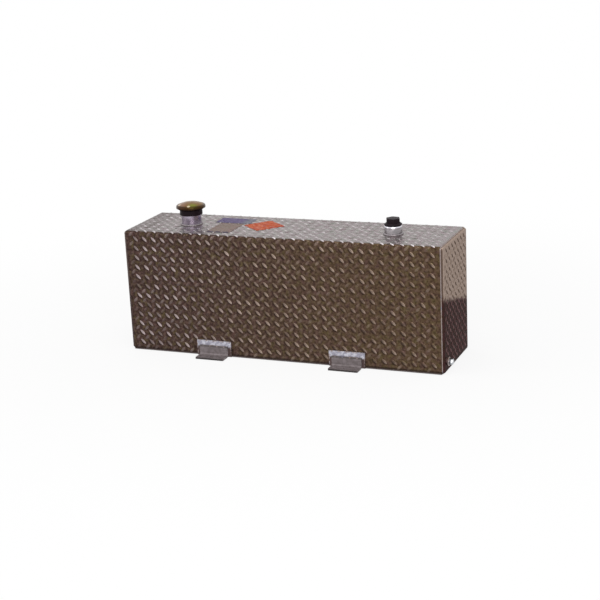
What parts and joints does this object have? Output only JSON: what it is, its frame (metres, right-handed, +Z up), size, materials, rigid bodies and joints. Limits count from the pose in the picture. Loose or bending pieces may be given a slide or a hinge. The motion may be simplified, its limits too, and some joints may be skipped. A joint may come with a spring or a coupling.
{
  "type": "truck bed transfer tank",
  "caption": "Rectangular tread plate fuel tank with a capped filler neck, a plugged pump port, an end drain and bolt-down feet.",
  "frame": {"origin": "middle of the tank's bottom face", "axes": "+X along the tank towards the pump port and drain, -Y to the front, +Z up"},
  "size_m": [1.2377, 0.4088, 0.5408],
  "materials": {
    "tread_plate": "bright rolled tread plate",
    "end_tread_plate": "bright rolled tread plate",
    "mill_aluminium": "mill finish sheet",
    "bracket_aluminium": "mill finish angle and plate",
    "weld_bead": "rippled weld",
    "neck_aluminium": "spun tube, satin",
    "machined_aluminium": "turned bar",
    "gold_plate": "yellow zinc plated pressing",
    "zinc_steel": "bright zinc plated steel",
    "brass": "turned brass",
    "black_moulding": "black moulded plastic",
    "gasket_rubber": "black rubber",
    "blue_label": "printed vinyl, plain field",
    "tan_label": "printed vinyl, plain field",
    "orange_label": "printed vinyl, plain field"
  },
  "bodies": {
    "root": {"tread_wrapper": "tread_plate", "bottom_plate": "mill_aluminium", "bottom_weld_front": "weld_bead", "bottom_weld_back": "weld_bead", "end_pan_left": "end_tread_plate", "end_pan_right": "end_tread_plate", "end_weld_left": "weld_bead", "end_weld_right": "weld_bead", "baffle_left": "mill_aluminium", "baffle_right": "mill_aluminium", "filler_neck": "neck_aluminium", "filler_neck_weld": "weld_bead", "pump_coupling": "machined_aluminium", "pump_coupling_weld": "weld_bead", "drain_bung": "machined_aluminium", "drain_bung_weld": "weld_bead", "label_blue": "blue_label", "label_tan": "tan_label", "label_orange": "orange_label", "pad_front_left": "bracket_aluminium", "pad_weld_front_left": "weld_bead", "bracket_front_left": "bracket_aluminium", "bracket_weld_front_left": "weld_bead", "pad_front_right": "bracket_aluminium", "pad_weld_front_right": "weld_bead", "bracket_front_right": "bracket_aluminium", "bracket_weld_front_right": "weld_bead", "pad_back_left": "bracket_aluminium", "pad_weld_back_left": "weld_bead", "bracket_back_left": "bracket_aluminium", "bracket_weld_back_left": "weld_bead", "pad_back_right": "bracket_aluminium", "pad_weld_back_right": "weld_bead", "bracket_back_right": "bracket_aluminium", "bracket_weld_back_right": "weld_bead"},
    "filler_seal": {"cap_gasket": "gasket_rubber"},
    "filler_cap": {"cap_body": "black_moulding", "cap_cover": "gold_plate", "cap_stem": "zinc_steel", "cap_spring": "zinc_steel", "cap_lock_plate": "zinc_steel", "cap_vent_valve": "brass"},
    "pump_seal": {"pump_plug_gasket": "gasket_rubber"},
    "pump_plug": {"pump_plug": "black_moulding"},
    "drain_seal": {"drain_washer": "gasket_rubber"},
    "drain_plug": {"drain_plug": "zinc_steel"}
  },
  "joints": [
    {"name": "filler_cap_lift", "type": "slide", "parent": "root", "child": "filler_seal", "axis": [0, 0, 1], "range_m": [0, 0.12]},
    {"name": "filler_cap_turn", "type": "hinge", "parent": "filler_seal", "child": "filler_cap", "pos_m": [-0.402, 0, 0.51], "axis": [0, 0, 1], "range_deg": [0, 90]},
    {"name": "pump_plug_lift", "type": "slide", "parent": "root", "child": "pump_seal", "axis": [0, 0, 1], "range_m": [0, 0.08]},
    {"name": "pump_plug_turn", "type": "hinge", "parent": "pump_seal", "child": "pump_plug", "pos_m": [0.386, 0, 0.5], "axis": [0, 0, 1], "continuous": true},
    {"name": "drain_plug_pull", "type": "slide", "parent": "root", "child": "drain_seal", "axis": [1, 0, 0], "range_m": [0, 0.06]},
    {"name": "drain_plug_turn", "type": "hinge", "parent": "drain_seal", "child": "drain_plug", "pos_m": [0.62, -0.101, 0.034], "axis": [1, 0, 0], "continuous": true}
  ]
}
